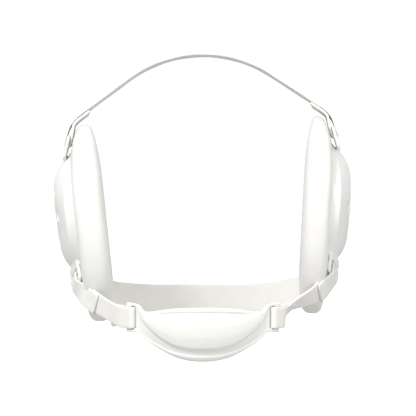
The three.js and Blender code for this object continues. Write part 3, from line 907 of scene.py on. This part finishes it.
def pad_rim():
    """Points round the pad's rim and the directions inwards."""
    corners = [np.array((a * PAD_DEPTH / 2, b * PAD_HEIGHT / 2 + PAD_LIFT)) for a, b in PAD_OUTLINE]
    count = len(corners)
    loop = corners[-2:] + corners + corners[:3]
    spans = len(loop) - 1
    shares = (np.arange(PAD_COLUMNS * 4) / (PAD_COLUMNS * 4) * count + 2) / spans
    dense = np.array([curve_point(loop, share) for share in shares])
    tangent = np.roll(dense, -1, axis=0) - np.roll(dense, 1, axis=0)
    tangent /= np.linalg.norm(tangent, axis=1, keepdims=True)
    inward = np.stack([-tangent[:, 1], tangent[:, 0]], 1)
    return dense[::4], inward[::4]


def pad_rows():
    """Rings of the pad's skin as ahead, above and out: rim, outer face, ear hollow and inner face."""
    rim, inward = pad_rim()
    turn = np.arange(PAD_COLUMNS) / PAD_COLUMNS * 2 * math.pi
    half = PAD_THICKNESS / 2
    topward = np.clip(rim[:, 1:] / (PAD_HEIGHT / 2), 0, 1) ** TOP_POWER

    def hole(margin):
        ahead = (EAR_DEPTH / 2 + margin) * np.cos(turn)
        return np.stack([ahead, (EAR_HEIGHT / 2 + margin) * np.sin(turn)], 1)

    rows = []
    for swing in np.radians(np.linspace(-90, 90, ROLL_ROWS)):
        fullness, roll = OUTER_FULLNESS, PAD_ROLL
        if swing < 0:
            fullness, roll = INNER_FULLNESS, INNER_ROLL + TOP_ROLL * topward
        inset = roll * (1 - max(math.cos(swing), 0) ** (2 / fullness))
        out = half + half * np.sign(swing) * abs(math.sin(swing)) ** (2 / fullness)
        rows.append((rim + inward * inset, out))
    outer, inner = rows[-1][0], rows[0][0]
    brow = hole(PAD_HOLE_ROUND)
    for share in np.linspace(0, 1, FACE_ROWS + 1)[1:]:
        rows.append((outer * (1 - share) + brow * share, PAD_THICKNESS))
    for swing in np.radians(np.linspace(0, 90, HOLE_ROWS))[1:]:
        out = PAD_THICKNESS - PAD_HOLE_ROUND * (1 - math.cos(swing))
        rows.append((hole(PAD_HOLE_ROUND * (1 - math.sin(swing))), out))
    for swing in np.radians(np.linspace(0, 90, HOLE_ROWS)):
        out = PAD_HOLE_ROUND * (1 - math.sin(swing))
        rows.append((hole(PAD_HOLE_ROUND * (1 - math.cos(swing))), out))
    for share in np.linspace(0, 1, FACE_ROWS + 1)[1:-1]:
        rows.append((brow * (1 - share) + inner * share, 0))
    return rows


def vertex_array(mesh, what="co"):
    values = np.empty(len(mesh.vertices) * 3)
    if what == "normal":
        mesh.vertex_normals.foreach_get("vector", values)
    else:
        mesh.vertices.foreach_get("co", values)
    return values.reshape(-1, 3)


def set_vertices(mesh, points):
    mesh.vertices.foreach_set("co", np.asarray(points, float).ravel())
    mesh.update()


def swell(item, most):
    """The foam's skin is blown out a little from inside, and no point moves further than most."""
    full = vertex_array(item.data)
    normals = vertex_array(item.data, "normal")
    rest = full - normals * PAD_START_INSET * MM
    set_vertices(item.data, rest)
    cloth = item.modifiers.new("Cloth", "CLOTH")
    cloth.settings.use_pressure = True
    cloth.settings.uniform_pressure_force = PAD_PRESSURE
    cloth.settings.effector_weights.gravity = 0
    cloth.settings.tension_stiffness = PAD_TENSION
    cloth.settings.compression_stiffness = PAD_TENSION
    cloth.settings.bending_stiffness = PAD_BENDING
    cloth.point_cache.frame_start = 1
    cloth.point_cache.frame_end = SWELL_FRAMES
    scene = bpy.context.scene
    for number in range(1, SWELL_FRAMES + 1):
        scene.frame_set(number)
    graph = bpy.context.evaluated_depsgraph_get()
    blown = item.evaluated_get(graph).to_mesh()
    points = vertex_array(blown)
    item.evaluated_get(graph).to_mesh_clear()
    item.modifiers.clear()
    move = points - rest
    size = np.linalg.norm(move, axis=1, keepdims=True)
    move *= np.minimum(1, most * MM / np.maximum(size, 1e-12))
    short = np.mean(np.sum((rest + move - full) * normals, axis=1))
    set_vertices(item.data, rest + move - normals * short)
    scene.frame_set(1)


def pad(side):
    """A foam ring with a full front, a faintly uneven skin and a soft groove along the shell's foot."""
    rows = []
    for points, out in pad_rows():
        ahead, above = points[:, 0], points[:, 1]
        rim = np.hypot(ahead / (CAP_DEPTH / 2), (above - CAP_LIFT) / (CAP_HEIGHT / 2))
        from_foot = (rim - 1) * CAP_DEPTH / 2
        groove = GROOVE_DEPTH * np.exp(-(((from_foot - GROOVE_OUT) / GROOVE_WIDTH) ** 2))
        middle = out / PAD_THICKNESS
        uneven = UNEVEN_RISE * np.sin(ahead / UNEVEN_AHEAD + 1.3 * side)
        uneven = uneven * np.sin(above / UNEVEN_ABOVE + 0.7) * math.sin(middle * math.pi)
        rows.append(to_world(side, settle(side, ahead, above, out - groove * middle**6 + uneven)))
    item = skin(f"pad_{SIDE_NAMES[side]}", rows, loop=True)
    swell(item, PAD_SWELL)
    levels = item.modifiers.new("Subdivision", "SUBSURF")
    levels.levels = levels.render_levels = 1
    apply_modifiers(item)
    item.data.polygons.foreach_set("use_smooth", [True] * len(item.data.polygons))
    return item


# Materials

def node(tree, kind, inputs=None, **settings):
    made = tree.nodes.new(kind)
    for key, value in settings.items():
        setattr(made, key, value)
    for key, value in (inputs or {}).items():
        if isinstance(value, bpy.types.NodeSocket):
            tree.links.new(value, made.inputs[key])
        else:
            made.inputs[key].default_value = value
    return made


def noise(tree, where, scale, detail=3, roughness=0.5):
    inputs = {"Vector": where, "Scale": scale, "Detail": detail, "Roughness": roughness}
    return node(tree, "ShaderNodeTexNoise", inputs).outputs["Fac"]


def mixed(tree, share, first, last):
    made = node(tree, "ShaderNodeMix", data_type="RGBA")
    tree.links.new(share, made.inputs[0])
    made.inputs[6].default_value = (*first, 1)
    made.inputs[7].default_value = (*last, 1)
    return made.outputs[2]


def ranged(tree, value, low, high, start=0.3, end=0.7):
    made = node(tree, "ShaderNodeMapRange", {"Value": value, "From Min": start, "From Max": end,
                                             "To Min": low, "To Max": high})
    return made.outputs["Result"]


def bump(tree, height, depth, strength=1.0, after=None):
    made = node(tree, "ShaderNodeBump", {"Height": height, "Distance": depth, "Strength": strength})
    if after is not None:
        tree.links.new(after, made.inputs["Normal"])
    return made.outputs["Normal"]


def new_material(name, **fixed):
    material = bpy.data.materials.new(name)
    material.use_nodes = True
    tree = material.node_tree
    shader = tree.nodes["Principled BSDF"]
    for key, value in fixed.items():
        shader.inputs[key.replace("_", " ")].default_value = value
    where = node(tree, "ShaderNodeTexCoord")
    return material, tree, shader, where


def foam_material():
    """Foam with a smooth dipped skin: creamy white, satin, faintly pored."""
    material, tree, shader, where = new_material("dipped_foam", Specular_IOR_Level=0.45, Coat_Weight=0.12,
                                                 Coat_Roughness=0.35, Subsurface_Weight=0.12,
                                                 Subsurface_Scale=0.003)
    place = where.outputs["Object"]
    clouds = noise(tree, place, 38, 4)
    colour = mixed(tree, ranged(tree, clouds, 0, 1), (0.72, 0.712, 0.685), (0.75, 0.744, 0.72))
    tree.links.new(colour, shader.inputs["Base Color"])
    tree.links.new(ranged(tree, noise(tree, place, 70, 4), 0.36, 0.5), shader.inputs["Roughness"])
    pores = bump(tree, noise(tree, place, 1500, 2), 0.00006, 0.5)
    skin_waves = bump(tree, noise(tree, place, 160, 3), 0.00035, 0.35, pores)
    tree.links.new(skin_waves, shader.inputs["Normal"])
    return material


def shell_material(name, roughness, base, warm):
    """Moulded plastic: white, satin, with a faint flow and fine scuffs."""
    material, tree, shader, where = new_material(name, Specular_IOR_Level=0.5, Coat_Weight=0.18,
                                                 Coat_Roughness=0.18, Subsurface_Weight=0.06,
                                                 Subsurface_Scale=0.002)
    place = where.outputs["Object"]
    colour = mixed(tree, ranged(tree, noise(tree, place, 26, 3), 0, 1), warm, base)
    tree.links.new(colour, shader.inputs["Base Color"])
    scuffs = noise(tree, place, 420, 6, 0.7)
    tree.links.new(ranged(tree, scuffs, roughness - 0.06, roughness + 0.1), shader.inputs["Roughness"])
    flow = bump(tree, noise(tree, place, 120, 2), 0.00025, 0.3)
    tree.links.new(bump(tree, scuffs, 0.00003, 0.3, flow), shader.inputs["Normal"])
    return material


RIB_PITCH = 0.0013
CHEVRON_WIDTH = 0.005


def maths(tree, operation, first, second=None):
    made = node(tree, "ShaderNodeMath", operation=operation)
    for slot, value in enumerate((first, second)):
        if isinstance(value, bpy.types.NodeSocket):
            tree.links.new(value, made.inputs[slot])
        elif value is not None:
            made.inputs[slot].default_value = value
    return made.outputs[0]


def webbing_material():
    """Woven webbing in fine chevrons."""
    material, tree, shader, where = new_material("webbing_weave", Specular_IOR_Level=0.35, Sheen_Weight=0.25,
                                                 Sheen_Roughness=0.5)
    uv = node(tree, "ShaderNodeUVMap", uv_map="Strap")
    parts = node(tree, "ShaderNodeSeparateXYZ", {"Vector": uv.outputs["UV"]})
    along, across = parts.outputs["X"], parts.outputs["Y"]
    band = maths(tree, "PINGPONG", across, CHEVRON_WIDTH / 2)
    phase = maths(tree, "ADD", along, band)
    ribs = maths(tree, "SINE", maths(tree, "MULTIPLY", phase, 2 * math.pi / RIB_PITCH))
    yarns = maths(tree, "SINE", maths(tree, "MULTIPLY", across, 2 * math.pi / (RIB_PITCH * 0.8)))
    weave = maths(tree, "ADD", maths(tree, "MULTIPLY", ribs, 0.7), maths(tree, "MULTIPLY", yarns, 0.3))
    place = where.outputs["Object"]
    wear = noise(tree, place, 60, 4)
    colour = mixed(tree, ranged(tree, wear, 0, 1), (0.71, 0.7, 0.665), (0.75, 0.742, 0.715))
    # Painted shade: the colour is darkened by up to about 5% where the weave is lowest, as shade in the
    # troughs between the ribs.
    depth = node(tree, "ShaderNodeMix", data_type="RGBA", blend_type="MULTIPLY")
    tree.links.new(ranged(tree, weave, 0.25, 0, -1, 0.2), depth.inputs[0])
    tree.links.new(colour, depth.inputs[6])
    depth.inputs[7].default_value = (0.8, 0.79, 0.76, 1)
    tree.links.new(depth.outputs[2], shader.inputs["Base Color"])
    tree.links.new(ranged(tree, wear, 0.55, 0.72), shader.inputs["Roughness"])
    threads = bump(tree, weave, 0.00012, 0.6)
    tree.links.new(threads, shader.inputs["Normal"])
    return material


def thread_material():
    material, tree, shader, where = new_material("stitch_thread", Roughness=0.55, Sheen_Weight=0.3)
    twist = noise(tree, where.outputs["Object"], 2500, 2)
    colour = mixed(tree, ranged(tree, twist, 0, 1), (0.8, 0.79, 0.76), (0.9, 0.895, 0.88))
    tree.links.new(colour, shader.inputs["Base Color"])
    tree.links.new(bump(tree, twist, 0.0001, 0.5), shader.inputs["Normal"])
    return material


# The pieces

def dress(item, material, slot, *nodes):
    item.data.materials.clear()
    item.data.materials.append(material)
    item.data.polygons.foreach_set("material_index", [0] * len(item.data.polygons))
    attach(item, "root")
    if nodes:
        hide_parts(*nodes)
    return item


foam = foam_material()
plastic = shell_material("moulded_plastic", 0.3, (0.79, 0.787, 0.77), (0.76, 0.754, 0.73))
rubber = shell_material("moulded_cup", 0.38, (0.78, 0.775, 0.755), (0.75, 0.742, 0.715))
webbing = webbing_material()
thread = thread_material()

for side in (LEFT, RIGHT):
    word = SIDE_NAMES[side]
    dress(pad(side), foam, "foam_skin", f"ear_pad_{word}")
    dress(shell(side), plastic, "moulded_shell", f"ear_shell_{word}")

dress(chin_cup(), rubber, "moulded_rubber", "chin_cup")

stitches = []
for name, (main, route), width in (
    ("crown_strap", crown_route(), WIDE_STRAP),
    ("nape_strap", nape_route(), WIDE_STRAP),
):
    dress(ribbon(name + "_webbing", route, width), webbing, "webbing", name)
    for way in (main, back_across(main[::-1])):
        stitches += stitch_box(way, width, STITCH_START, STITCH_RUN)
for side in (LEFT, RIGHT):
    word = SIDE_NAMES[side]
    strap = ribbon(f"chin_strap_{word}_webbing", chin_route(side), CHIN_STRAP)
    dress(strap, webbing, "webbing", f"chin_strap_{word}")
dress(join("strap_stitches", stitches), thread, "webbing")


# The stage, lights and camera

STUDIO_LIGHT = 0.78
BACKGROUND_GLOW = 1.05
FLOOR_GLOW = 0.85
FLOOR_RADIUS = 40000
FLOOR_HEIGHT = -190
FLOOR_STEPS = 64
FOCAL_PIXELS = 1912
PICTURE_PIXELS = 416

# In metres
CAMERA_PLACE = (0.0038, -1.5, 0.0055)

# Name, place and width in metres, and watts
LIGHTS = [
    ("key", (-0.8, -1.5, 1.4), 0.7, 36),
    ("fill", (1.2, -1.5, 0.7), 0.9, 13),
]

floor_material, floor_tree, floor_shader, _ = new_material("pale_floor", Roughness=0.9)
floor_shader.inputs["Base Color"].default_value = (0.5, 0.5, 0.497, 1)
floor_shader.inputs["Emission Color"].default_value = (1, 1, 1, 1)
seen = node(floor_tree, "ShaderNodeLightPath").outputs["Is Camera Ray"]
glow = maths(floor_tree, "MULTIPLY", seen, FLOOR_GLOW)
floor_tree.links.new(glow, floor_shader.inputs["Emission Strength"])
rim = np.linspace(0, 2 * math.pi, FLOOR_STEPS, endpoint=False)
edge = np.stack([FLOOR_RADIUS * np.cos(rim), FLOOR_RADIUS * np.sin(rim), 0 * rim + FLOOR_HEIGHT], 1)
floor = mesh_object("floor", edge, [list(range(FLOOR_STEPS))], smooth=False)
floor.data.materials.append(floor_material)

world = bpy.data.worlds.new("studio")
world.use_nodes = True
world.node_tree.nodes["Background"].inputs["Color"].default_value = (1, 1, 1, 1)
seen = node(world.node_tree, "ShaderNodeLightPath").outputs["Is Camera Ray"]
strength = ranged(world.node_tree, seen, STUDIO_LIGHT, BACKGROUND_GLOW, 0, 1)
world.node_tree.links.new(strength, world.node_tree.nodes["Background"].inputs["Strength"])
bpy.context.scene.world = world


def area_light(name, place, size, power):
    """A round light that faces the guard."""
    light = bpy.data.lights.new(name, "AREA")
    light.shape = "DISK"
    light.size = size
    light.energy = power
    holder = bpy.data.objects.new(name, light)
    holder.location = place
    holder.rotation_euler = (-Vector(place)).to_track_quat("-Z", "Y").to_euler()
    bpy.context.scene.collection.objects.link(holder)


for light_settings in LIGHTS:
    area_light(*light_settings)

camera_data = bpy.data.cameras.new("camera")
camera_data.sensor_width = 36
camera_data.lens = camera_data.sensor_width * FOCAL_PIXELS / PICTURE_PIXELS
camera_data.clip_start = 0.01
camera_data.clip_end = 200
camera = bpy.data.objects.new("camera", camera_data)
camera.location = CAMERA_PLACE
camera.rotation_euler = (math.pi / 2, 0, 0)
bpy.context.scene.collection.objects.link(camera)
bpy.context.scene.camera = camera
bpy.context.scene.view_settings.view_transform = "Standard"
